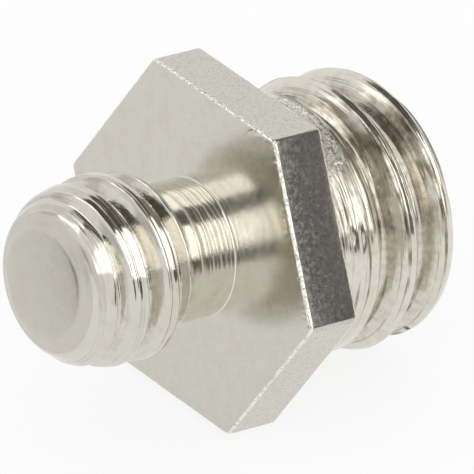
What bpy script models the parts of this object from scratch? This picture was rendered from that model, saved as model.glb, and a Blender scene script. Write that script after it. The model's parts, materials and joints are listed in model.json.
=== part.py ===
"""Dual-threaded screw: one turned and plated piece for camera supports.

A hexagonal flange carries a 1/4 inch stud with 20 turns an inch on one side and a 3/8 inch stud
with 16 turns an inch on the other. The screw lies on its side as it comes to rest on a table: on
the rear edge of the hexagon's lower flat and on the crest of the large thread.

The screw's own axis runs along +X, from the small stud to the large one, and x = 0 is the
hexagon's front face. Lengths are metres.
"""
import math

import bmesh
import bpy
from mathutils import Matrix, Vector

INCH = 0.0254

# Hexagonal flange, turned from hexagonal bar
HEX_ACROSS_FLATS = 0.01095
HEX_THICKNESS = 0.00200
HEX_SIDES = 6
HEX_CORNER_RADIUS = 0.00022
HEX_EDGE_ROUND = 0.00008
HEX_ROUND_SEGMENTS = 2
HEX_ROUND_SHAPE = 0.5

# Small stud, 1/4 inch
SMALL_PITCH = INCH / 20
SMALL_CREST_RADIUS = 0.00317
SMALL_THREAD_DEPTH = 0.00062
SMALL_CREST_WIDTH = 0.00040
SMALL_LENGTH = 0.00620
SMALL_NECK_RADIUS = 0.00235
SMALL_NECK_LENGTH = 0.00230
SMALL_INNER_LENGTH = 0.00055
SMALL_INNER_DROP = 0.00027
SMALL_TAPER_LENGTH = 0.00116
SMALL_TAPER_DROP = 0.00028
SMALL_SHOULDER_LENGTH = 0.00063
SMALL_SHOULDER_DROP = 0.00047
SMALL_TIP_LENGTH = 0.00025
SMALL_TIP_DROP = 0.00047
SMALL_THREAD_ANGLE = math.radians(44)

# Large stud, 3/8 inch
LARGE_PITCH = INCH / 16
LARGE_CREST_RADIUS = 0.00471
LARGE_THREAD_DEPTH = 0.00088
LARGE_CREST_WIDTH = 0.00032
LARGE_LENGTH = 0.00600
LARGE_THREAD_LENGTH = 0.00430
LARGE_NECK_RADIUS = 0.00446
LARGE_NECK_LENGTH = 0.00298
LARGE_INNER_LENGTH = 0.00025
LARGE_INNER_DROP = 0.00020
LARGE_TAPER_LENGTH = 0.00060
LARGE_TAPER_DROP = 0.00026
LARGE_TIP_LENGTH = 0.00035
LARGE_TIP_DROP = 0.00050
LARGE_THREAD_ANGLE = math.radians(328)
LARGE_RUN_OUT_TURNS = 0.5

# Both studs
FLANK_ANGLE = math.radians(30)
NECK_FILLET = 0.00010
SHOULDER_SLOPE = math.radians(20)
TIP_BULGE = 0.00003
TIP_STEPS = 3
SEGMENTS = 72
OVERRUN_TURNS = 1.0
CUT_PAST_CREST = 0.25

NODE_NAME = "dual_threaded_screw"
PLATING_COLOUR = (0.62, 0.59, 0.54, 1.0)
PLATING_ROUGHNESS = 0.25
SMOOTH_BELOW = math.radians(25)
SAME_POINT = 1e-7
SAME_LEVEL = 1e-6


def clear_scene():
    for old in list(bpy.data.objects):
        bpy.data.objects.remove(old, do_unlink=True)


def plating_material():
    material = bpy.data.materials.new("nickel_plating")
    material.use_nodes = True
    shader = material.node_tree.nodes["Principled BSDF"]
    shader.inputs["Base Color"].default_value = PLATING_COLOUR
    shader.inputs["Metallic"].default_value = 1.0
    shader.inputs["Roughness"].default_value = PLATING_ROUGHNESS
    return material


def new_object(name, bm):
    bmesh.ops.recalc_face_normals(bm, faces=bm.faces)
    mesh = bpy.data.meshes.new(name)
    bm.to_mesh(mesh)
    bm.free()
    made = bpy.data.objects.new(name, mesh)
    bpy.context.collection.objects.link(made)
    return made


def tip_profile(end, end_radius, length, drop, inward):
    """Points of a slightly bulged cone from the flat end face out to the stud's side."""
    points = []
    for step in range(TIP_STEPS + 1):
        share = step / TIP_STEPS
        swell = TIP_BULGE * math.sin(math.pi * share)
        points.append((end + inward * (length * share), end_radius + drop * share + swell))
    return points


def stud_profile(direction, length, neck, neck_length, crest, inner, tapers, tip):
    """(x, radius) from the hexagon's middle plane out to the axis at the stud's end.

    direction is -1 for the small stud and +1 for the large one. inner and tip are (length, drop)
    pairs, the chamfers beside the neck and at the end, and tapers has such a pair for each slope
    of the last turns.
    """
    face = 0.0 if direction < 0 else HEX_THICKNESS
    end = face + direction * length
    shoulder = face + direction * neck_length
    inner_length, inner_drop = inner
    tip_length, tip_drop = tip
    shoulder_run = (crest - inner_drop - neck) * math.tan(SHOULDER_SLOPE)
    points = [(HEX_THICKNESS / 2, neck + NECK_FILLET)]
    points.append((face, neck + NECK_FILLET))
    points.append((face + direction * NECK_FILLET, neck))
    points.append((shoulder - direction * shoulder_run, neck))
    points.append((shoulder, crest - inner_drop))
    points.append((shoulder + direction * inner_length, crest))
    from_end = tip_length + sum(taper_length for taper_length, taper_drop in tapers)
    radius = crest
    for taper_length, taper_drop in tapers:
        points.append((end - direction * from_end, radius))
        from_end -= taper_length
        radius -= taper_drop
    end_radius = radius - tip_drop
    points.extend(reversed(tip_profile(end, end_radius, tip_length, tip_drop, -direction)))
    points.append((end, 0.0))
    return points


def turned_body():
    """Both studs and their common core, turned about X."""
    small = stud_profile(
        -1, SMALL_LENGTH, SMALL_NECK_RADIUS, SMALL_NECK_LENGTH, SMALL_CREST_RADIUS,
        (SMALL_INNER_LENGTH, SMALL_INNER_DROP),
        ((SMALL_TAPER_LENGTH, SMALL_TAPER_DROP), (SMALL_SHOULDER_LENGTH, SMALL_SHOULDER_DROP)),
        (SMALL_TIP_LENGTH, SMALL_TIP_DROP))
    large = stud_profile(
        1, LARGE_LENGTH, LARGE_NECK_RADIUS, LARGE_NECK_LENGTH, LARGE_CREST_RADIUS,
        (LARGE_INNER_LENGTH, LARGE_INNER_DROP), ((LARGE_TAPER_LENGTH, LARGE_TAPER_DROP),),
        (LARGE_TIP_LENGTH, LARGE_TIP_DROP))
    bm = bmesh.new()
    profile = [bm.verts.new((x, 0.0, radius)) for x, radius in list(reversed(small)) + large]
    edges = [bm.edges.new(pair) for pair in zip(profile, profile[1:])]
    bmesh.ops.spin(bm, geom=profile + edges, cent=(0, 0, 0), axis=(1, 0, 0),
                   angle=math.tau, steps=SEGMENTS)
    bmesh.ops.remove_doubles(bm, verts=bm.verts, dist=SAME_POINT)
    return new_object(NODE_NAME, bm)


def is_level(edge):
    """Whether the edge lies square to X."""
    return abs(edge.verts[0].co.x - edge.verts[1].co.x) < SAME_LEVEL


def hexagon():
    """The flange: a prism with its flats up and down, its corners and edges rounded."""
    bm = bmesh.new()
    corner_distance = HEX_ACROSS_FLATS / 2 / math.cos(math.pi / HEX_SIDES)
    ring = []
    for index in range(HEX_SIDES):
        turn = math.tau * index / HEX_SIDES
        ring.append(bm.verts.new((0.0, corner_distance * math.cos(turn),
                                  corner_distance * math.sin(turn))))
    front = bm.faces.new(ring)
    swept = bmesh.ops.extrude_face_region(bm, geom=[front])
    moved = [item for item in swept["geom"] if isinstance(item, bmesh.types.BMVert)]
    bmesh.ops.translate(bm, verts=moved, vec=(HEX_THICKNESS, 0, 0))
    bmesh.ops.recalc_face_normals(bm, faces=bm.faces)
    corners = [edge for edge in bm.edges if not is_level(edge)]
    bmesh.ops.bevel(bm, geom=corners, offset=HEX_CORNER_RADIUS, offset_type="OFFSET",
                    segments=HEX_ROUND_SEGMENTS, profile=HEX_ROUND_SHAPE, affect="EDGES")
    rims = [edge for edge in bm.edges if is_level(edge)]
    bmesh.ops.bevel(bm, geom=rims, offset=HEX_EDGE_ROUND, offset_type="OFFSET",
                    segments=HEX_ROUND_SEGMENTS, profile=HEX_ROUND_SHAPE, affect="EDGES")
    return new_object("hexagon_flange", bm)


def groove_section(crest, depth, pitch, crest_width):
    """(x, radius) corners of the groove between two crests, open outwards past the crest."""
    past_crest = crest + depth * CUT_PAST_CREST
    top_half = (pitch - crest_width) / 2
    root_half = top_half - depth * math.tan(FLANK_ANGLE)
    return [(-root_half, crest - depth), (root_half, crest - depth), (top_half, crest),
            (top_half, past_crest), (-top_half, past_crest), (-top_half, crest)]


def thread_cutter(name, section, pitch, depth, end_x, end_angle, inward, length, run_out_turns):
    """A right-hand groove wound inwards from past the stud's end.

    A crest meets the stud's end at end_angle. The groove reaches length into the stud, and over
    its last run_out_turns it rises out of the metal. inward is the sign of X into the stud.
    """
    bm = bmesh.new()
    half_segment = math.pi / SEGMENTS
    steps = math.ceil((length / pitch + OVERRUN_TURNS) * SEGMENTS)
    rings = []
    for step in range(steps + 1):
        wound = step / SEGMENTS - OVERRUN_TURNS
        centre = end_x + inward * pitch * wound
        angle = end_angle + half_segment + inward * math.tau * (wound - 0.5)
        turns_left = (steps - step) / SEGMENTS
        lift = 0.0
        if turns_left < run_out_turns:
            lift = depth * (1 - math.sin(math.radians(90) * turns_left / run_out_turns))
        ring = []
        for x, radius in section:
            reach = radius + lift
            ring.append(bm.verts.new((centre + x, reach * math.cos(angle),
                                      reach * math.sin(angle))))
        rings.append(ring)
    for ring, following in zip(rings, rings[1:]):
        for index in range(len(section)):
            after = (index + 1) % len(section)
            bm.faces.new((ring[index], ring[after], following[after], following[index]))
    bm.faces.new(rings[0])
    bm.faces.new(rings[-1])
    return new_object(name, bm)


def small_thread_cutter():
    """The groove of the small thread, which runs out in the neck."""
    section = groove_section(SMALL_CREST_RADIUS, SMALL_THREAD_DEPTH, SMALL_PITCH,
                             SMALL_CREST_WIDTH)
    length = SMALL_LENGTH - SMALL_NECK_LENGTH / 2
    return thread_cutter("small_thread_groove", section, SMALL_PITCH, SMALL_THREAD_DEPTH,
                         -SMALL_LENGTH, SMALL_THREAD_ANGLE, 1, length, 0.0)


def large_thread_cutter():
    """The groove of the large thread, which rises out of the stud's neck."""
    section = groove_section(LARGE_CREST_RADIUS, LARGE_THREAD_DEPTH, LARGE_PITCH,
                             LARGE_CREST_WIDTH)
    return thread_cutter("large_thread_groove", section, LARGE_PITCH, LARGE_THREAD_DEPTH,
                         HEX_THICKNESS + LARGE_LENGTH, LARGE_THREAD_ANGLE, -1,
                         LARGE_THREAD_LENGTH, LARGE_RUN_OUT_TURNS)


def add_boolean(target, operand, operation):
    """Join or cut with a hidden guide."""
    operand.hide_render = True
    operand.display_type = "WIRE"
    modifier = target.modifiers.new(operand.name, "BOOLEAN")
    modifier.operation = operation
    modifier.solver = "EXACT"
    modifier.object = operand


def evaluated_points(target):
    depsgraph = bpy.context.evaluated_depsgraph_get()
    seen = target.evaluated_get(depsgraph)
    return [vertex.co.copy() for vertex in seen.data.vertices]


def resting_placement(points):
    """Turn about Y onto the hexagon's rear lower edge and the large thread, on z = 0.

    The placement's origin is below the middle of the outline.
    """
    lowest = min(point.z for point in points)
    bottom = [point for point in points if point.z < lowest + SAME_LEVEL]
    pivot = max(bottom, key=lambda point: point.x)
    beyond = [point for point in points if point.x > HEX_THICKNESS + HEX_EDGE_ROUND]
    tilt = min(math.atan2(point.z - pivot.z, point.x - pivot.x) for point in beyond)
    turn = Matrix.Rotation(tilt, 4, "Y")
    turned = [turn @ point for point in points]
    middle = Vector()
    for axis in range(2):
        values = [point[axis] for point in turned]
        middle[axis] = -(min(values) + max(values)) / 2
    middle.z = -min(point.z for point in turned)
    return Matrix.Translation(middle) @ turn


def build():
    clear_scene()
    screw = turned_body()
    add_boolean(screw, hexagon(), "UNION")
    add_boolean(screw, small_thread_cutter(), "DIFFERENCE")
    add_boolean(screw, large_thread_cutter(), "DIFFERENCE")
    placement = resting_placement(evaluated_points(screw))
    for item in bpy.data.objects:
        item.matrix_world = placement
        item.data.shade_smooth()
        item.data.set_sharp_from_angle(angle=SMOOTH_BELOW)
    screw.data.materials.append(plating_material())


build()
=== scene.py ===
"""The finished dual-threaded screw: its fine surface, nickel plating, studio and camera."""
import json
import math
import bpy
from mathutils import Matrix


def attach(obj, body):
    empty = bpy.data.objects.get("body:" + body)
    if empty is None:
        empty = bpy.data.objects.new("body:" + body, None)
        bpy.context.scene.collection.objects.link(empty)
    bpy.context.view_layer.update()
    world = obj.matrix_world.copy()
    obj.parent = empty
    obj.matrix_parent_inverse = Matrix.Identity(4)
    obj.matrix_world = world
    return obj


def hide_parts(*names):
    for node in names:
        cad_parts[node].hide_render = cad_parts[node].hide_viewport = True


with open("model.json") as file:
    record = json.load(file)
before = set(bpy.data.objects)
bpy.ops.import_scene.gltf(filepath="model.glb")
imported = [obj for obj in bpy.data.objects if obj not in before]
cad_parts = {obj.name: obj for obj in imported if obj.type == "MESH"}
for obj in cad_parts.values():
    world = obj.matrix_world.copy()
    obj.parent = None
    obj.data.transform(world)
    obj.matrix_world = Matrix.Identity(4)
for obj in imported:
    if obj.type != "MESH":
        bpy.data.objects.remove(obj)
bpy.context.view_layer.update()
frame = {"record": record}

from types import SimpleNamespace

import bpy
import numpy as np
from mathutils import Matrix, Vector

NODE = "dual_threaded_screw"
BODY = "root"

# Sizes in millimetres, in the screw's own frame: its axis along X, the slim stud at -X and
# x = 0 at the hexagon's front face. Angles in degrees, turning from +Y to +Z.
METRE = 0.001
INCH = 25.4

HEX_ACROSS_FLATS = 10.95
HEX_THICKNESS = 2.00
HEX_SIDES = 6
HEX_CORNER_RADIUS = 0.22
HEX_EDGE_ROUND = 0.10

# A stud's rings are the place, height and width of each ridge round its neck. Its smears and
# dents are places along and round the axis, with a height, a width and a spread.
SMALL = SimpleNamespace(
    direction=-1, face=0.0, length=6.20, neck=2.35, neck_length=2.30,
    inner=(0.55, 0.27), tapers=((1.16, 0.28), (0.63, 0.47)), tip=((0.15, 0.39), (0.10, 0.13)),
    crest=3.17, pitch=INCH / 20, depth=0.62, crest_width=0.40, angle=44,
    groove_length=5.05, run_out=0.0, thread_from=2.15,
    rings=((0.10, -0.004, 0.05), (0.21, -0.006, 0.05), (0.39, -0.006, 0.06),
           (0.61, -0.007, 0.06), (0.79, -0.004, 0.05), (0.94, -0.006, 0.05),
           (1.09, -0.004, 0.05), (1.43, -0.007, 0.08), (1.25, 0.003, 0.20), (1.80, 0.006, 0.20)),
    cone=0.0, seam_depth=0.022, seam_width=0.045, seam_place=-0.08,
    smears=((-5.45, 137, 0.45, 0.13, 0.27),), dents=(),
    crest_rounding=0.05, wobble=0.0035, scores=0.0012, blunt_from=4.7, end_rounding=0.30)
LARGE = SimpleNamespace(
    direction=1, face=HEX_THICKNESS, length=6.00, neck=4.46, neck_length=2.98,
    inner=(0.25, 0.20), tapers=((0.60, 0.26),), tip=((0.35, 0.50),),
    crest=4.71, pitch=INCH / 16, depth=0.88, crest_width=0.32, angle=328,
    groove_length=4.30, run_out=0.5, thread_from=0.95,
    rings=((0.30, -0.004, 0.07), (0.62, -0.005, 0.08), (0.95, -0.003, 0.06),
           (1.12, -0.004, 0.07), (1.30, -0.0025, 0.06), (1.44, -0.004, 0.07),
           (1.62, -0.003, 0.06), (1.98, -0.005, 0.10), (2.40, -0.004, 0.08)),
    cone=0.17, seam_depth=0.0, seam_width=0.05, seam_place=0.0,
    smears=(), dents=((3.30, 158.6, 0.045, 0.09, 0.06), (3.66, 160.0, 0.040, 0.08, 0.08),
                      (7.32, 225.0, 0.050, 0.12, 0.03)),
    crest_rounding=0.20, wobble=0.005, scores=0.008, blunt_from=5.6, end_rounding=0.10)

FLANK_ANGLE = 30
NECK_FILLET = 0.03
SHOULDER_SLOPE = 20
ROOT_ROUNDING = 0.06
FACE_MARGIN = 0.30
END_MARGIN = 0.25
FADE = 0.2
BLUNT_FADE = 0.3
WOBBLE_WAVELENGTH = 0.9
WEAR_WAVELENGTH = 2.5
SCORES_A_PITCH = range(5, 13)
SCORE_SCALE = 2.5
NICK_REACH = 0.12
FINE_NICK = 0.004
BROAD_NICK = 0.010
FINE_NICK_WAVELENGTH = 0.16
BROAD_NICK_WAVELENGTH = 0.9

# Seeds, so that each run draws the same surface
SCORE_SEED = 21
WOBBLE_SEED = 5
WEAR_SEED = 6
FINE_NICK_SEED = 11
BROAD_NICK_SEED = 12

# Fineness of the mesh
STUD_COLUMNS = 168
FLANGE_COLUMNS = 4 * STUD_COLUMNS
CORNER_STEPS = 6
ROUND_STEPS = 5
PROFILE_STEP = 0.005
PROFILE_ROUNDING = 0.05
THREAD_ROW = 0.035
NECK_ROW = 0.027
TIP_ROW = 0.05
END_ROW = 0.30
INNERMOST_RING = 0.25
NORMAL_STEP = 0.004
FACE_RINGS = (0.10, 0.35, 0.60, 0.80, 0.90, 0.95, 0.98, 1.0)
SIDE_RINGS = (0.02, 0.05, 0.12, 0.3, 0.5, 0.7, 0.88, 0.95, 0.98)
PANEL_STEPS = 16

# Photograph: a near-parallel view from the slim stud's side, looking down
PHOTO_SIZE = 474
FRONT_CENTRE_PIXEL = (190.19, 247.06)
PIXELS_PER_MM = 30.527
CAMERA_DISTANCE = 400.0
CAMERA_AZIMUTH = -38.71
CAMERA_ELEVATION = 33.58
CAMERA_ROLL = 0.34
SENSOR_WIDTH = 36.0

# Base colours. The nickel's is set for each part of the screw, to meet its brightness in the
# photograph, though the real plating is probably one colour: the end's darker copy is painted
# shade, and the lighter copies on the threads, neck, rim and torn patch are painted light.
SHADED_END_NICKEL = (0.585, 0.562, 0.500)
NICKEL = (0.62, 0.598, 0.535)
LIT_THREAD_NICKEL = (0.66, 0.638, 0.575)
LIT_WARM_NICKEL = (0.71, 0.686, 0.608)
HIGHLIGHT_NICKEL = (0.84, 0.82, 0.75)
TARNISH = (0.50, 0.445, 0.345)
BROWN = (0.40, 0.335, 0.26)
# The scores' dark colour is painted shade in them.
SCORE_SHADE = (0.23, 0.19, 0.135)
SPECK = (0.40, 0.38, 0.37)
# Dark spots by a small dent on the thick stud's end are painted shade.
DENT_SHADE = (0.05, 0.036, 0.026)

# Marks on the plating
WINDING_DRIFT = 0.12
FOOT_DULLNESS = 0.06
SPECK_DULLNESS = 0.07
TEAR_DEPTH = 0.09
SPOT_MARGIN = 0.3

# Studio: the floor and a pale tent, and sheets that the metal reflects
FLOOR_SIZE = 40.0
FLOOR_WHITE = 0.93
FLOOR_GLOW = 0.86
TENT_BRIGHTNESS = 0.965
CAMERA_SIDE = 144.9

# Colour and strength of each cloth
CLOTHS = {
    "softbox_cloth": ((1.0, 0.99, 0.97), 2.1),
    "near_cloth": ((1.0, 1.0, 1.0), 4.0),
    "face_cloth": ((1.0, 0.99, 0.97), 0.75),
    "lit_cloth": ((1.0, 1.0, 1.0), 2.15),
    "dark_cloth": ((1.0, 0.90, 0.82), 0.11),
    "dusk_card": ((1.0, 0.90, 0.74), 0.30),
    "cold_dark_cloth": ((0.98, 0.92, 1.0), 0.12),
    "shade_cloth": ((1.0, 0.95, 0.90), 0.12),
    "grey_cloth": ((0.96, 0.99, 1.0), 0.62),
    "pale_grey_cloth": ((1.0, 0.97, 0.93), 0.72),
}

# Name, cloth and distance from the axis of each sheet, and its edges as panel() takes them
PANELS = [
    ("softbox", "softbox_cloth", 100, [(-42, -38, 14), (0, -38, 18), (20, -39, 19), (60, -30, 23)]),
    ("softbox_far", "softbox_cloth", 100, [(60, -30, 22), (84, -28, 21)]),
    ("dark_gap", "dark_cloth", 100, [(-30, -90, -40), (0, -94, -40), (24, -92, -41)]),
    ("dusk_gap", "dusk_card", 100, [(24, -92, -41), (60, -78, -32), (300, -76, -30)]),
    ("dusk_beyond", "dusk_card", 100, [(84, -34, 32), (300, -34, 32)]),
    ("flat_dark", "cold_dark_cloth", 12, [(4.3, -38, 28), (7.4, -38, 28)]),
    ("dark_below", "dark_cloth", 30, [(12, 22, 29), (18, 20, 33), (21, 22, 32)]),
    ("end_softbox", "softbox_cloth", 12, [(-13.2, -20, 2), (-10.4, -35, 8)]),
    ("face_softbox", "face_cloth", 12, [(-8.8, -28, 14), (-7.5, -31, 22)]),
    ("near_softbox", "near_cloth", 12, [(-7.5, -31, 22), (-5.85, -28, 12)]),
    ("near_gap", "dark_cloth", 12, [(-10.4, -60, -26), (-7.5, -60, -31), (-5.85, -60, -28)]),
    ("near_below", "dark_cloth", 12, [(-10.4, 14, 42), (-7.5, 22, 44), (-5.85, 12, 36)]),
    ("near_edge", "dark_cloth", 12, [(-5.85, -60, 34), (-4.7, -60, 30)]),
    ("side", "lit_cloth", 40, [(-36.0, -105, -60), (-24.5, -105, -60)]),
    ("side_above", "pale_grey_cloth", 40, [(-36.0, -135, -106), (-24.5, -135, -106)]),
    ("end_shade", "shade_cloth", 8, [(-56, 165, 197), (-14.8, 165, 197)]),
    ("grey_end", "grey_cloth", 100, [(-520, -95, 5), (-230, -95, 5)]),
]


def screw_placement():
    """Where the screw's own frame lies, from the mounts on its end and its upper flat."""
    mounts = {mount["name"]: mount for mount in frame["record"]["mounts"]}
    along = Vector(mounts["large_stud_end"]["axis"])
    upward = Vector(mounts["hexagon_flat_upper"]["axis"])
    across = upward.cross(along)
    turn = Matrix((along, across, upward)).transposed().to_4x4()
    origin = Vector(mounts["small_stud_end"]["pos_m"]) + along * SMALL.length * METRE
    return Matrix.Translation(origin) @ turn


# Blank: the stud before its thread is cut

def blank_outline(stud):
    """(x, radius) corners from the flange's face out to the axis at the stud's end."""
    out = stud.direction
    end = stud.face + out * stud.length
    shoulder = stud.face + out * stud.neck_length
    inner_length, inner_drop = stud.inner
    chamfer_top = stud.crest - inner_drop
    shoulder_run = (chamfer_top - stud.neck) * math.tan(math.radians(SHOULDER_SLOPE))
    points = [(stud.face, stud.neck + NECK_FILLET + FACE_MARGIN)]
    points.append((stud.face, stud.neck + NECK_FILLET))
    points.append((stud.face + out * NECK_FILLET, stud.neck))
    points.append((shoulder - out * shoulder_run, stud.neck))
    points.append((shoulder, chamfer_top))
    points.append((shoulder + out * inner_length, stud.crest))
    slopes = stud.tapers + stud.tip
    from_end = sum(length for length, drop in slopes)
    radius = stud.crest
    points.append((end - out * from_end, radius))
    for length, drop in slopes:
        from_end -= length
        radius -= drop
        points.append((end - out * from_end, radius))
    points.append((end, 0.0))
    return np.array(points)


def softened(samples, width):
    """Samples averaged over a width, which rounds the corners between them."""
    reach = int(width / PROFILE_STEP / 2)
    kernel = np.ones(2 * reach + 1) / (2 * reach + 1)
    return np.convolve(np.pad(samples, reach, mode="edge"), kernel, "valid")


def rounded_profile(stud):
    """The blank's outline as close samples, rounded: (distance, x, radius) columns."""
    corners = blank_outline(stud)
    steps = np.hypot(*np.diff(corners, axis=0).T)
    distance = np.concatenate([[0.0], np.cumsum(steps)])
    along = np.arange(0.0, distance[-1], PROFILE_STEP)
    x, radius = [np.interp(along, distance, column) for column in corners.T]
    out_from_face = (x - stud.face) * stud.direction
    blunt = np.clip((out_from_face - stud.blunt_from) / BLUNT_FADE, 0.0, 1.0)
    rounded = []
    for samples in (x, radius):
        crisp = softened(samples, PROFILE_ROUNDING)
        rounded.append(crisp + blunt * (softened(samples, stud.end_rounding) - crisp))
    return along, rounded[0], np.maximum(rounded[1], 0.0)


def row_places(stud, profile):
    """Distances along the profile for the mesh's rows, closest together on the thread."""
    along, x, radius = profile
    out_from_face = (x - stud.face) * stud.direction
    tip_from = stud.length - sum(length for length, drop in stud.tip)
    end_radius = stud.crest - sum(drop for length, drop in stud.tapers + stud.tip)
    spacing = np.full(len(along), NECK_ROW)
    spacing[out_from_face > stud.thread_from] = THREAD_ROW
    spacing[out_from_face > tip_from] = TIP_ROW
    spacing[(out_from_face > tip_from) & (radius < end_radius - PROFILE_ROUNDING)] = END_ROW
    kept = (radius > INNERMOST_RING) & (along >= FACE_MARGIN / 2)
    density = np.cumsum(PROFILE_STEP / spacing[kept])
    count = int(round(density[-1]))
    return np.interp(np.linspace(density[0], density[-1], count), density, along[kept])


# Surface: groove, seam, rings and unevenness

def above_zero(value, softness):
    """The value, or 0 where it is less, with the corner between them rounded."""
    return (value + np.sqrt(value * value + softness * softness)) / 2


def lesser(first, second, softness):
    """The smaller of two radii, with the corner between them rounded."""
    return (first + second - np.sqrt((first - second) ** 2 + softness ** 2)) / 2


def thread_groove(stud, x, angle):
    """Radius of the helical groove's sides at x, and the distance from the crest's seam."""
    inward = -stud.direction
    end = stud.face + stud.direction * stud.length
    top_half = (stud.pitch - stud.crest_width) / 2
    root_half = top_half - stud.depth * math.tan(math.radians(FLANK_ANGLE))
    turns = stud.groove_length / stud.pitch
    first = inward * (angle - math.radians(stud.angle)) / math.tau + 0.5
    shape = np.broadcast(x, angle).shape
    radius = np.full(shape, np.inf)
    to_seam = np.full(shape, np.inf)
    for turn in range(-3, math.ceil(turns) + 3):
        wound = first + turn
        past_centre = x - end - inward * stud.pitch * wound
        gap = np.abs(past_centre)
        rise = above_zero(gap - root_half, ROOT_ROUNDING) / math.tan(math.radians(FLANK_ANGLE))
        lift = 0.0
        if stud.run_out:
            left = np.clip((turns - wound) / stud.run_out, 0.0, 1.0)
            lift = stud.depth * (1 - np.sin(left * math.pi / 2))
        side = np.where(wound > turns, np.inf, stud.crest - stud.depth + rise + lift)
        radius = np.minimum(radius, side)
        to_seam = np.minimum(to_seam, np.abs(past_centre - stud.pitch / 2 - stud.seam_place))
    return radius + blots(stud.smears, x, angle), to_seam


def blots(spots, x, angle):
    """Soft spots: each a place along and round the axis, a height, a width and a spread."""
    total = 0.0
    for place, side_angle, height, width, spread in spots:
        turned = np.angle(np.exp(1j * (angle - math.radians(side_angle))))
        total = total + height * np.exp(-((x - place) / width) ** 2 - (turned / spread) ** 2)
    return total


def uneven(x, y, z, wavelength, seed, waves=14):
    """Smooth unevenness between about -1 and 1: a sum of plane waves in random directions."""
    random = np.random.default_rng(seed)
    total = 0.0
    for _ in range(waves):
        direction = random.normal(size=3)
        direction *= math.tau / (np.linalg.norm(direction) * wavelength * random.uniform(0.6, 1.6))
        total = total + np.sin(direction[0] * x + direction[1] * y + direction[2] * z
                               + random.uniform(0, math.tau))
    return total / math.sqrt(waves)


def thread_scores(stud, x, angle):
    """Fine scores that run along the thread, between about -1 and 1."""
    random = np.random.default_rng(SCORE_SEED)
    helix = (x / stud.pitch - angle / math.tau) * math.tau
    total = 0.0
    for count in SCORES_A_PITCH:
        strength = random.uniform(0.4, 1.0)
        total = total + strength * np.cos(count * helix + random.uniform(0, math.tau))
    return total / SCORE_SCALE


def neck_rings(stud, out_from_face):
    """Height of the fine turned ridges and scores round the neck."""
    height = stud.cone * (out_from_face / stud.neck_length - 0.5)
    for place, ridge, width in stud.rings:
        height = height + ridge / (1 + ((out_from_face - place) / width * 2) ** 2)
    return height


def stud_surface(stud, profile, along, angle):
    """x and radius of the finished surface at a distance along the profile and an angle."""
    x = np.interp(along, profile[0], profile[1])
    blank = np.interp(along, profile[0], profile[2])
    out_from_face = (x - stud.face) * stud.direction
    groove, to_seam = thread_groove(stud, x, angle)
    radius = np.where(np.isinf(groove), blank, lesser(blank, np.minimum(groove, 99.0),
                                                      stud.crest_rounding))
    on_side = np.clip((stud.length - END_MARGIN - out_from_face) / FADE, 0.0, 1.0)
    threaded = np.clip((out_from_face - stud.neck_length) / FADE, 0.0, 1.0) * on_side
    seam = stud.seam_depth * np.exp(-(to_seam / stud.seam_width) ** 2) * threaded
    free = np.clip((out_from_face - NECK_FILLET) / 0.1, 0.0, 1.0) * on_side
    on_neck = np.clip((stud.neck_length - out_from_face) / FADE, 0.0, 1.0) * free
    y, z = radius * np.cos(angle), radius * np.sin(angle)
    bumps = uneven(x, y, z, WOBBLE_WAVELENGTH, WOBBLE_SEED)
    ridges = on_neck * neck_rings(stud, out_from_face)
    patchy = 0.7 + 0.5 * uneven(x, y, z, WEAR_WAVELENGTH, WEAR_SEED)
    under_scores = np.clip((out_from_face - stud.neck_length + 0.1) / 0.3, 0.0, 1.0) * on_side
    scored = under_scores * patchy * stud.scores * thread_scores(stud, x, angle)
    radius = radius - seam + ridges + scored + free * stud.wobble * bumps
    radius = radius - blots(stud.dents, x, angle)
    return x, radius


def stud_grid(stud):
    """Rows of points and of surface normals from the flange to the stud's end."""
    profile = rounded_profile(stud)
    along = row_places(stud, profile)[:, None]
    angle = (np.arange(STUD_COLUMNS) * math.tau / STUD_COLUMNS)[None, :]

    def point(distance, turn):
        x, radius = stud_surface(stud, profile, distance, turn)
        return np.stack([x + 0 * turn, radius * np.cos(turn), radius * np.sin(turn)], -1)

    lengthwise = point(along + NORMAL_STEP, angle) - point(along - NORMAL_STEP, angle)
    around = point(along, angle + NORMAL_STEP) - point(along, angle - NORMAL_STEP)
    normals = np.cross(around, lengthwise) * stud.direction
    normals /= np.linalg.norm(normals, axis=-1, keepdims=True)
    points = point(along, angle)
    points[0, :, 0] = stud.face
    normals[0] = (stud.direction, 0, 0)
    return points, normals


# Flange

def hexagon_ring(inset):
    """(y, z) points round the hexagon, its corners rounded, drawn in by an inset."""
    apothem = HEX_ACROSS_FLATS / 2
    centre_distance = (apothem - HEX_CORNER_RADIUS) / math.cos(math.pi / HEX_SIDES)
    corner = HEX_CORNER_RADIUS - inset
    half_turn = math.pi / HEX_SIDES
    flat_steps = FLANGE_COLUMNS // HEX_SIDES - 2 * CORNER_STEPS
    points = []
    for side in range(HEX_SIDES):
        here = math.tau * side / HEX_SIDES
        there = here + 2 * half_turn
        start = centre_distance * np.array([math.cos(here), math.sin(here)])
        stop = centre_distance * np.array([math.cos(there), math.sin(there)])
        facing = here + half_turn
        outward = corner * np.array([math.cos(facing), math.sin(facing)])
        for step in range(CORNER_STEPS):
            turn = here + half_turn * step / CORNER_STEPS
            points.append(start + corner * np.array([math.cos(turn), math.sin(turn)]))
        for step in range(flat_steps):
            points.append(start + (stop - start) * step / flat_steps + outward)
        for step in range(CORNER_STEPS):
            turn = facing + half_turn * step / CORNER_STEPS
            points.append(stop + corner * np.array([math.cos(turn), math.sin(turn)]))
    return np.array(points)


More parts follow.
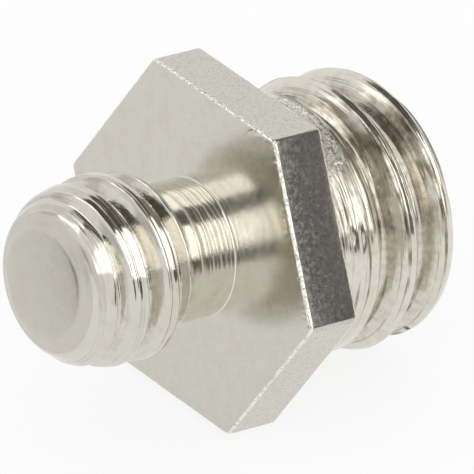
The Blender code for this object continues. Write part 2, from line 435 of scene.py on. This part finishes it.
def flange_grid(front_radius, rear_radius):
    """Rings from the front face's inner circle over the rim to the rear face's."""
    turn = np.arange(FLANGE_COLUMNS) * math.tau / FLANGE_COLUMNS
    circle = np.stack([np.cos(turn), np.sin(turn)], 1)
    rim = hexagon_ring(HEX_EDGE_ROUND)
    rings = []
    for share in FACE_RINGS:
        flat = front_radius * circle * (1 - share) + rim * share
        rings.append((0.0, flat))
    for step in range(1, ROUND_STEPS + 1):
        bend = math.pi / 2 * step / ROUND_STEPS
        inset = HEX_EDGE_ROUND * (1 - math.sin(bend))
        rings.append((HEX_EDGE_ROUND * (1 - math.cos(bend)), hexagon_ring(inset)))
    side = HEX_THICKNESS - 2 * HEX_EDGE_ROUND
    for share in SIDE_RINGS:
        rings.append((HEX_EDGE_ROUND + side * share, hexagon_ring(0.0)))
    for step in range(ROUND_STEPS + 1):
        bend = math.pi / 2 * step / ROUND_STEPS
        inset = HEX_EDGE_ROUND * (1 - math.cos(bend))
        rings.append((HEX_THICKNESS - HEX_EDGE_ROUND * (1 - math.sin(bend)),
                      hexagon_ring(inset)))
    for share in reversed(FACE_RINGS[:-1]):
        flat = rear_radius * circle * (1 - share) + rim * share
        rings.append((HEX_THICKNESS, flat))
    points = np.array([np.column_stack([np.full(len(ring), x), ring]) for x, ring in rings])
    return nicked(points)


def grid_normals(points):
    """Normals of a grid that closes on itself along its columns, pointing outwards."""
    around = np.roll(points, -1, axis=1) - np.roll(points, 1, axis=1)
    lengthwise = np.gradient(points, axis=0)
    normals = np.cross(around, lengthwise)
    normals /= np.linalg.norm(normals, axis=-1, keepdims=True)
    return normals


def nicked(points):
    """The flange with small dents and burrs along its rims."""
    x, y, z = points[..., 0], points[..., 1], points[..., 2]
    smooth = grid_normals(points)
    rim = hexagon_ring(HEX_EDGE_ROUND)
    from_rim = np.hypot(y - rim[:, 0], z - rim[:, 1])
    from_front = np.exp(-((from_rim + x) / NICK_REACH) ** 2)
    from_rear = np.exp(-((from_rim + HEX_THICKNESS - x) / NICK_REACH) ** 2)
    fine = uneven(x, y, z, FINE_NICK_WAVELENGTH, FINE_NICK_SEED)
    broad = uneven(x, y, z, BROAD_NICK_WAVELENGTH, BROAD_NICK_SEED)
    dents = FINE_NICK * fine + BROAD_NICK * np.clip(fine + broad - 0.7, 0.0, 1.5)
    depth = (from_front + from_rear) * dents
    return points - smooth * depth[..., None]


# Mesh

class Rings:
    """Closed rings of vertices, joined one after the other into faces."""

    def __init__(self):
        self.points = []
        self.normals = []
        self.faces = []
        self.slots = []

    def add(self, points, normals):
        """Add a ring, or a lone point, and give its vertices' numbers."""
        first = len(self.points)
        self.points.extend(points)
        self.normals.extend(normals)
        return list(range(first, first + len(points)))

    def quads(self, ring, following, slot):
        """Join two rings that have the same number of columns."""
        for index in range(len(ring)):
            after = (index + 1) % len(ring)
            self.faces.append((ring[index], ring[after], following[after], following[index]))
            self.slots.append(slot)

    def widen(self, ring, finer, slot, flipped):
        """Join a ring to one with a whole multiple of its columns, in the same plane."""
        ratio = len(finer) // len(ring)
        middle = ratio // 2
        for index in range(len(ring)):
            here, there = ring[index], ring[(index + 1) % len(ring)]
            fan = [finer[(index * ratio + step) % len(finer)] for step in range(ratio + 1)]
            triangles = [(here, fan[step], fan[step + 1]) for step in range(middle)]
            triangles.append((here, fan[middle], there))
            triangles += [(there, fan[step], fan[step + 1]) for step in range(middle, ratio)]
            for corners in triangles:
                self.faces.append(corners[::-1] if flipped else corners)
                self.slots.append(slot)

    def cap(self, ring, centre, normal, slot, flipped):
        """Close a ring with a fan of triangles to its centre."""
        middle = self.add([centre], [normal])[0]
        for index in range(len(ring)):
            corners = (ring[index], ring[(index + 1) % len(ring)], middle)
            self.faces.append(corners[::-1] if flipped else corners)
            self.slots.append(slot)


def stud_slot(stud, x):
    """The finish of the stud's row at x."""
    out_from_face = (x - stud.face) * stud.direction
    if out_from_face < NECK_FILLET / 4:
        return "face"
    if out_from_face > stud.length - 0.9 * sum(length for length, drop in stud.tip):
        return "end"
    if out_from_face > stud.neck_length - 0.05:
        return "small_thread" if stud is SMALL else "large_thread"
    return "neck" if stud is SMALL else "large_thread"


def flange_slot(x):
    """The finish of the flange's row at x."""
    if x < HEX_EDGE_ROUND / 20 or x > HEX_THICKNESS - HEX_EDGE_ROUND / 20:
        return "face"
    if HEX_EDGE_ROUND * 0.9 < x < HEX_THICKNESS - HEX_EDGE_ROUND * 0.9:
        return "flat"
    return "rim"


def screw_mesh(finishes):
    """The whole screw as one closed mesh, with a material slot for each finish."""
    small_points, small_normals = stud_grid(SMALL)
    large_points, large_normals = stud_grid(LARGE)
    front_radius = np.hypot(small_points[0, 0, 1], small_points[0, 0, 2])
    rear_radius = np.hypot(large_points[0, 0, 1], large_points[0, 0, 2])
    flange_points = flange_grid(front_radius, rear_radius)
    flange_normals = grid_normals(flange_points)
    names = list(finishes)
    rings = Rings()

    small = [rings.add(*row) for row in zip(small_points, small_normals)]
    for index in range(len(small) - 1):
        x = small_points[index, :, 0].mean()
        rings.quads(small[index + 1], small[index], names.index(stud_slot(SMALL, x)))
    end = SMALL.face - SMALL.length
    rings.cap(small[-1], (end, 0, 0), (-1, 0, 0), names.index("end"), True)

    flange = [rings.add(*row) for row in zip(flange_points, flange_normals)]
    for index in range(len(flange) - 1):
        x = (flange_points[index, 0, 0] + flange_points[index + 1, 0, 0]) / 2
        rings.quads(flange[index], flange[index + 1], names.index(flange_slot(x)))
    rings.widen(small[0], flange[0], names.index("face"), True)

    large = [rings.add(*row) for row in zip(large_points, large_normals)]
    for index in range(len(large) - 1):
        x = large_points[index, :, 0].mean()
        rings.quads(large[index], large[index + 1], names.index(stud_slot(LARGE, x)))
    rings.cap(large[-1], (LARGE.face + LARGE.length, 0, 0), (1, 0, 0), names.index("end"),
              False)
    rings.widen(large[0], flange[-1], names.index("face"), False)

    placement = np.array(screw_placement())
    turn, origin = placement[:3, :3], placement[:3, 3]
    points = np.array(rings.points) * METRE @ turn.T + origin
    normals = np.array(rings.normals) @ turn.T
    mesh = bpy.data.meshes.new("screw_surface")
    mesh.from_pydata(points.tolist(), [], rings.faces)
    for material in finishes.values():
        mesh.materials.append(material)
    mesh.polygons.foreach_set("material_index", rings.slots)
    mesh.shade_smooth()
    mesh.normals_split_custom_set_from_vertices(normals.tolist())
    return mesh


# Plating

class Graph:
    """A Principled material's nodes, with short ways to add and join them."""

    def __init__(self, name):
        self.material = bpy.data.materials.new(name)
        self.material.use_nodes = True
        self.nodes = self.material.node_tree.nodes
        self.links = self.material.node_tree.links
        self.shader = self.nodes["Principled BSDF"]
        own = self.nodes.new("ShaderNodeMapping")
        own.vector_type = "TEXTURE"
        placement = screw_placement()
        own.inputs["Location"].default_value = placement.translation
        own.inputs["Rotation"].default_value = placement.to_euler()
        own.inputs["Scale"].default_value = (METRE, METRE, METRE)
        place = self.nodes.new("ShaderNodeTexCoord").outputs["Object"]
        self.links.new(place, own.inputs["Vector"])
        self.millimetres = own.outputs[0]
        split = self.nodes.new("ShaderNodeSeparateXYZ")
        self.links.new(self.millimetres, split.inputs[0])
        self.x, self.y, self.z = split.outputs

    def feed(self, socket, value):
        """Join a socket to the value, or set it where the value is a number or a colour."""
        if isinstance(value, bpy.types.NodeSocket):
            self.links.new(value, socket)
        else:
            socket.default_value = value

    def combine(self, x, y, z):
        node = self.nodes.new("ShaderNodeCombineXYZ")
        for socket, value in zip(node.inputs, (x, y, z)):
            self.feed(socket, value)
        return node.outputs[0]

    def math(self, operation, *values):
        node = self.nodes.new("ShaderNodeMath")
        node.operation = operation
        for socket, value in zip(node.inputs, values):
            self.feed(socket, value)
        return node.outputs[0]

    def noise(self, vector, scale, detail=2.0, roughness=0.5):
        node = self.nodes.new("ShaderNodeTexNoise")
        self.feed(node.inputs["Vector"], vector)
        node.inputs["Scale"].default_value = scale
        node.inputs["Detail"].default_value = detail
        node.inputs["Roughness"].default_value = roughness
        return node.outputs["Fac"]

    def spread(self, value, low, high, to_low, to_high):
        """The value from low..high moved to to_low..to_high, and held there."""
        node = self.nodes.new("ShaderNodeMapRange")
        for socket, number in zip(node.inputs[:5], (value, low, high, to_low, to_high)):
            self.feed(socket, number)
        return node.outputs[0]

    def blend(self, share, first, second):
        node = self.nodes.new("ShaderNodeMix")
        node.data_type = "RGBA"
        self.feed(node.inputs["Factor"], share)
        self.feed(node.inputs["A"], first)
        self.feed(node.inputs["B"], second)
        return node.outputs["Result"]

    def bump(self, height, millimetres, normal=None):
        node = self.nodes.new("ShaderNodeBump")
        node.inputs["Distance"].default_value = millimetres * METRE
        self.feed(node.inputs["Height"], height)
        if normal is not None:
            self.links.new(normal, node.inputs["Normal"])
        return node.outputs["Normal"]

    def window(self, value, first, last, margin):
        """1 where the value is between two limits, falling to 0 across a margin inside each."""
        rise = self.spread(value, first, first + margin, 0.0, 1.0)
        return self.math("MULTIPLY", rise, self.spread(value, last - margin, last, 1.0, 0.0))

    def angle(self):
        """Angle round the screw's axis in radians."""
        return self.math("ARCTAN2", self.z, self.y)

    def radius(self):
        """Distance from the screw's axis."""
        squares = self.math("ADD", self.math("MULTIPLY", self.y, self.y),
                            self.math("MULTIPLY", self.z, self.z))
        return self.math("SQRT", squares)

    def winding(self, pitch):
        """A vector that repeats once a turn of a right-hand thread, for marks along it."""
        turns = self.math("DIVIDE", self.angle(), math.tau)
        phase = self.math("SUBTRACT", self.math("DIVIDE", self.x, pitch), turns)
        circle = self.math("MULTIPLY", phase, math.tau)
        slow = self.math("MULTIPLY", self.math("ADD", self.y, self.z), WINDING_DRIFT)
        return self.combine(self.math("COSINE", circle), self.math("SINE", circle), slow)


def plating(name, metal=NICKEL, roughness=0.2, uneven_polish=0.03, grain=0.001, stain=0.4,
            speckle=0.0, foot=None, crust=0.0, marks=None, marks_height=0.0, lines=0.0, torn=None,
            nicks=0.0, spots=()):
    """Bright nickel: grain, cloudy polish, a little tarnish and, if given, tool marks.

    speckle is how dark and how dull the small specks are; lines is how dark the marks are
    drawn, in painted shade, on top of their height; foot is the radius below which a groove is
    browner in cloudy patches, and the x between which; crust is how lumpy it is there. torn
    gives the x and the angles between which the surface is torn and pitted, its colour lighter
    there in painted highlight, and spots the same of dark spots of painted shade, with how dark
    each is.
    """
    graph = Graph(name)
    where = graph.millimetres
    cloud = graph.noise(where, 1.6, detail=4.0, roughness=0.6)
    shade = graph.spread(cloud, 0.45, 0.75, 0.0, stain)
    colour = graph.blend(shade, (*metal, 1.0), (*TARNISH, 1.0))
    polish = graph.noise(where, 5.0, detail=3.0)
    rough = graph.spread(polish, 0.3, 0.7, roughness - uneven_polish,
                         roughness + uneven_polish)
    if foot is not None:
        radius, first, last = foot
        deep = graph.math("MULTIPLY",
                          graph.spread(graph.radius(), radius - 0.25, radius + 0.15, 1.0, 0.0),
                          graph.window(graph.x, first, last, 0.15))
        cloudy = graph.spread(graph.noise(where, 3.2, detail=4.0, roughness=0.6),
                              0.42, 0.62, 0.05, 0.5)
        colour = graph.blend(graph.math("MULTIPLY", deep, cloudy), colour, (*BROWN, 1.0))
        rough = graph.math("ADD", rough, graph.math("MULTIPLY", deep, FOOT_DULLNESS))
    if lines:
        # The marks' dark colour is painted shade in the scores, in patches.
        drawn = graph.spread(marks(graph), 0.50, 0.57, 0.0, lines)
        patchy = graph.spread(graph.noise(where, 1.1, detail=2.0), 0.40, 0.60, 0.25, 1.0)
        colour = graph.blend(graph.math("MULTIPLY", drawn, patchy), colour, (*SCORE_SHADE, 1.0))
    if speckle:
        dots = graph.noise(where, 11.0, detail=2.0, roughness=0.6)
        share = graph.spread(dots, 0.50, 0.66, 0.0, speckle)
        colour = graph.blend(share, colour, (*SPECK, 1.0))
        dull = graph.spread(graph.noise(where, 7.5, detail=1.0), 0.46, 0.64,
                            0.0, SPECK_DULLNESS * speckle)
        rough = graph.math("ADD", rough, dull)
    if torn is not None:
        first, last, first_angle, last_angle = torn
        patch = graph.math("MULTIPLY", graph.window(graph.x, first, last, 0.15),
                           graph.window(graph.angle(), math.radians(first_angle),
                                        math.radians(last_angle), 0.10))
        pits = graph.spread(graph.noise(where, 4.5, detail=3.0, roughness=0.65),
                            0.42, 0.58, 0.0, 1.0)
        highlight_share = graph.math("MULTIPLY", patch, graph.spread(pits, 0.0, 1.0, 0.3, 0.9))
        # The patch's lighter colour is painted highlight on its pits; the pits themselves are
        # bumps.
        colour = graph.blend(highlight_share, colour, (*HIGHLIGHT_NICKEL, 1.0))
    # Each spot's dark colour is painted shade.
    for first, last, first_angle, last_angle, share in spots:
        first_turn, last_turn = math.radians(first_angle), math.radians(last_angle)
        spot = graph.math("MULTIPLY",
                          graph.window(graph.x, first, last, SPOT_MARGIN * (last - first)),
                          graph.window(graph.angle(), first_turn, last_turn,
                                       SPOT_MARGIN * (last_turn - first_turn)))
        colour = graph.blend(graph.math("MULTIPLY", spot, share), colour, (*DENT_SHADE, 1.0))
    graph.links.new(colour, graph.shader.inputs["Base Color"])
    graph.shader.inputs["Metallic"].default_value = 1.0
    graph.links.new(rough, graph.shader.inputs["Roughness"])
    normal = graph.bump(graph.noise(where, 11.0, detail=3.0, roughness=0.6), grain)
    if crust:
        lumps = graph.noise(where, 4.0, detail=3.0, roughness=0.6)
        normal = graph.bump(graph.math("MULTIPLY", deep, lumps), crust, normal)
    if marks is not None:
        normal = graph.bump(marks(graph), marks_height, normal)
    if nicks:
        dips = graph.spread(graph.noise(where, 5.0, detail=2.0, roughness=0.6),
                            0.48, 0.60, 0.0, 1.0)
        normal = graph.bump(dips, nicks, normal)
    if torn is not None:
        normal = graph.bump(graph.math("MULTIPLY", patch, pits), TEAR_DEPTH, normal)
    graph.links.new(normal, graph.shader.inputs["Normal"])
    return graph.material


def thread_marks(pitch, scale):
    """Marks that run along a thread."""
    return lambda graph: graph.noise(graph.winding(pitch), scale, detail=3.0, roughness=0.6)


def turning_marks(graph):
    """Fine circles round the axis."""
    return graph.noise(graph.combine(graph.radius(), 0.0, 0.0), 7.0)


def finishes():
    """The plating of each part of the screw, by the part's name."""
    small = thread_marks(SMALL.pitch, 1.3)
    large = thread_marks(LARGE.pitch, 1.6)
    # The end's darker nickel is painted shade; the lighter nickel of the threads, neck and rim is
    # painted light.
    return {
        "end": plating("nickel_end", metal=SHADED_END_NICKEL, roughness=0.30, uneven_polish=0.04,
                       grain=0.0003, stain=0.25),
        "small_thread": plating("nickel_small_thread", metal=LIT_THREAD_NICKEL,
                                roughness=0.13, uneven_polish=0.04, grain=0.0012,
                                stain=0.3, foot=(2.80, -5.1, -2.0), crust=0.02,
                                marks=small, marks_height=0.004, lines=0.25),
        "neck": plating("nickel_neck", metal=HIGHLIGHT_NICKEL, roughness=0.10, stain=0.3,
                        foot=(2.80, -2.5, -1.7)),
        "face": plating("nickel_face", roughness=0.20, stain=0.3, speckle=0.10,
                        marks=turning_marks, marks_height=0.0005),
        "rim": plating("nickel_rim", metal=HIGHLIGHT_NICKEL, roughness=0.14, stain=0.2,
                       nicks=0.04),
        "flat": plating("nickel_flat", roughness=0.16, uneven_polish=0.04, grain=0.0014,
                        stain=0.1, speckle=0.6),
        "large_thread": plating("nickel_large_thread", metal=LIT_WARM_NICKEL,
                                roughness=0.17, uneven_polish=0.05, grain=0.0012,
                                stain=0.4, foot=(4.36, 3.1, 7.4), marks=large,
                                marks_height=0.014, lines=0.95, torn=(2.95, 3.95, 78, 131),
                                spots=((7.19, 7.45, -137.4, -133.4, 0.95),
                                       (7.24, 7.66, -131.5, -121.5, 0.75))),
    }


# Studio

def floor_material():
    """White paper that keeps a faint shadow."""
    material = bpy.data.materials.new("white_paper")
    material.use_nodes = True
    nodes, links = material.node_tree.nodes, material.node_tree.links
    nodes.clear()
    paths = nodes.new("ShaderNodeLightPath")
    seen = nodes.new("ShaderNodeMath")
    seen.operation = "MAXIMUM"
    links.new(paths.outputs["Is Camera Ray"], seen.inputs[0])
    links.new(paths.outputs["Is Glossy Ray"], seen.inputs[1])
    through = nodes.new("ShaderNodeMath")
    through.operation = "MAXIMUM"
    links.new(seen.outputs[0], through.inputs[0])
    links.new(paths.outputs["Is Transmission Ray"], through.inputs[1])
    share = nodes.new("ShaderNodeMath")
    share.operation = "MULTIPLY"
    share.inputs[1].default_value = FLOOR_GLOW
    links.new(through.outputs[0], share.inputs[0])
    paper = nodes.new("ShaderNodeBsdfDiffuse")
    paper.inputs["Color"].default_value = (FLOOR_WHITE, FLOOR_WHITE, FLOOR_WHITE, 1.0)
    glow = nodes.new("ShaderNodeEmission")
    mix = nodes.new("ShaderNodeMixShader")
    links.new(share.outputs[0], mix.inputs[0])
    links.new(paper.outputs[0], mix.inputs[1])
    links.new(glow.outputs[0], mix.inputs[2])
    out = nodes.new("ShaderNodeOutputMaterial")
    links.new(mix.outputs[0], out.inputs["Surface"])
    return material


def glowing(name, colour, strength):
    """An evenly shining material."""
    material = bpy.data.materials.new(name)
    material.use_nodes = True
    nodes, links = material.node_tree.nodes, material.node_tree.links
    nodes.clear()
    shader = nodes.new("ShaderNodeEmission")
    shader.inputs["Color"].default_value = (*colour, 1.0)
    shader.inputs["Strength"].default_value = strength
    out = nodes.new("ShaderNodeOutputMaterial")
    links.new(shader.outputs[0], out.inputs["Surface"])
    return material


def direction(azimuth, elevation):
    """Unit vector towards a place round the screw, as the camera's angles are given."""
    turn, rise = math.radians(azimuth), math.radians(elevation)
    return Vector((math.sin(turn) * math.cos(rise), -math.cos(turn) * math.cos(rise),
                   math.sin(rise)))


def panel(name, edges, distance, material):
    """A sheet beside the screw, bent round its axis at one distance, which only reflections see.

    Each edge gives a place along the axis and the two angles, from the side that faces the
    camera and growing towards the picture's bottom, between which the sheet lies there.
    """
    placement = screw_placement()
    points = []
    for x, first, last in edges:
        for step in range(PANEL_STEPS + 1):
            turn = math.radians(CAMERA_SIDE + first + (last - first) * step / PANEL_STEPS)
            own = Vector((x, distance * math.cos(turn), distance * math.sin(turn)))
            points.append(tuple(placement @ (own * METRE)))
    faces = []
    for row in range(len(edges) - 1):
        for step in range(PANEL_STEPS):
            corner = row * (PANEL_STEPS + 1) + step
            below = corner + PANEL_STEPS + 1
            faces.append((corner, corner + 1, below + 1, below))
    mesh = bpy.data.meshes.new(name)
    mesh.from_pydata(points, [], faces)
    mesh.materials.append(material)
    sheet = bpy.data.objects.new(name, mesh)
    bpy.context.scene.collection.objects.link(sheet)
    sheet.visible_camera = False
    sheet.visible_shadow = False
    sheet.visible_diffuse = False


def studio():
    """A pale tent and floor, and the bright, grey and dark sheets that the metal reflects."""
    world = bpy.data.worlds.new("tent")
    world.use_nodes = True
    background = world.node_tree.nodes["Background"]
    background.inputs["Color"].default_value = (1.0, 1.0, 1.0, 1.0)
    background.inputs["Strength"].default_value = TENT_BRIGHTNESS
    bpy.context.scene.world = world
    bpy.ops.mesh.primitive_plane_add(size=FLOOR_SIZE)
    floor = bpy.context.object
    floor.name = "floor"
    floor.data.materials.append(floor_material())
    cloths = {name: glowing(name, *light) for name, light in CLOTHS.items()}
    for name, cloth, distance, edges in PANELS:
        panel(name, edges, distance, cloths[cloth])


def camera():
    """The photograph's camera, aimed by the hexagon's front centre."""
    scene = bpy.context.scene
    data = bpy.data.cameras.new("camera")
    data.sensor_width = SENSOR_WIDTH
    data.lens = PIXELS_PER_MM * CAMERA_DISTANCE * SENSOR_WIDTH / PHOTO_SIZE
    data.clip_start = CAMERA_DISTANCE * METRE / 10
    data.clip_end = CAMERA_DISTANCE * METRE * 100
    made = bpy.data.objects.new("camera", data)
    scene.collection.objects.link(made)
    back = direction(CAMERA_AZIMUTH, CAMERA_ELEVATION)
    turn, roll = math.radians(CAMERA_AZIMUTH), math.radians(CAMERA_ROLL)
    level = Vector((math.cos(turn), math.sin(turn), 0.0))
    upright = back.cross(level)
    right = level * math.cos(roll) + upright * math.sin(roll)
    up = upright * math.cos(roll) - level * math.sin(roll)
    centre = screw_placement().translation
    aside = (PHOTO_SIZE / 2 - FRONT_CENTRE_PIXEL[0]) / PIXELS_PER_MM * METRE
    above = (FRONT_CENTRE_PIXEL[1] - PHOTO_SIZE / 2) / PIXELS_PER_MM * METRE
    place = centre + back * CAMERA_DISTANCE * METRE + right * aside + up * above
    made.matrix_world = (Matrix.Translation(place)
                         @ Matrix((right, up, back)).transposed().to_4x4())
    scene.camera = made


def screw():
    """The finished screw, in place of its CAD node."""
    mesh = screw_mesh(finishes())
    made = bpy.data.objects.new("screw_surface", mesh)
    bpy.context.scene.collection.objects.link(made)
    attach(made, BODY)
    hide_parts(NODE)


bpy.context.scene.view_settings.view_transform = "Standard"
camera()
studio()
screw()
